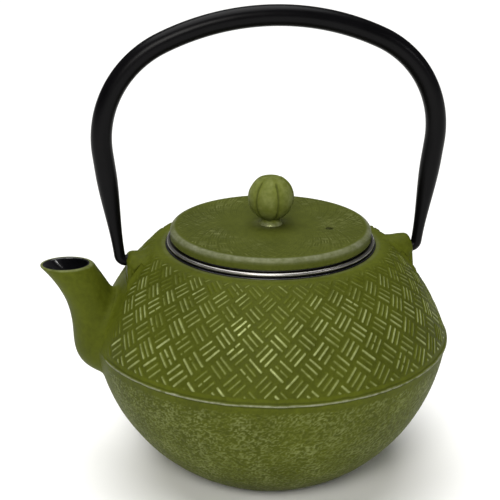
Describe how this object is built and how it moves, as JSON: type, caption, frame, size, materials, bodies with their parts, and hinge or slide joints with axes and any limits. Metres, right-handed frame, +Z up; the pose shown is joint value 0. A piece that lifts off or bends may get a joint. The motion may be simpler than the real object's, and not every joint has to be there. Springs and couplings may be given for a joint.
{
  "type": "cast iron teapot",
  "caption": "Round cast iron teapot with an S-shaped spout, enamelled inside, a lift-off lid with a ribbed knob, a mesh infuser and a swinging tubular bail.",
  "frame": {"origin": "centre of the flat underside of the pot, on the pot's vertical axis", "axes": "+Z up along the pot's axis, the spout points to -X, and the bail swings about an axis parallel to X"},
  "size_m": [0.1803, 0.1586, 0.2085],
  "materials": {
    "painted_iron": "moss green painted casting with worn high spots",
    "lid_iron": "moss green painted casting with a rubbed rim",
    "knob_iron": "moss green painted casting, lightly rubbed",
    "black_enamel": "glossy black vitreous enamel",
    "stainless_steel": "satin stainless steel",
    "steel_mesh": "woven stainless wire mesh",
    "black_steel": "satin black baked paint on steel tube"
  },
  "bodies": {
    "pot": {"pot_body": "painted_iron", "enamel_lining": "black_enamel"},
    "infuser": {"infuser_rim": "stainless_steel", "infuser_wall": "steel_mesh", "infuser_floor": "steel_mesh", "infuser_base_ring": "stainless_steel"},
    "lid": {"lid": "lid_iron", "lid_enamel": "black_enamel", "knob": "knob_iron", "knob_screw": "stainless_steel", "knob_washer": "stainless_steel"},
    "bail": {"handle_bail": "black_steel"}
  },
  "joints": [
    {"name": "infuser_lift", "type": "slide", "parent": "pot", "child": "infuser", "axis": [0, 0, 1], "range_m": [0, 0.064]},
    {"name": "lid_lift", "type": "slide", "parent": "infuser", "child": "lid", "axis": [0, 0, 1], "range_m": [0, 0.025]},
    {"name": "bail_swing", "type": "hinge", "parent": "pot", "child": "bail", "pos_m": [0, 0, 0.0991], "axis": [1, 0, 0], "range_deg": [-122, 122]}
  ]
}
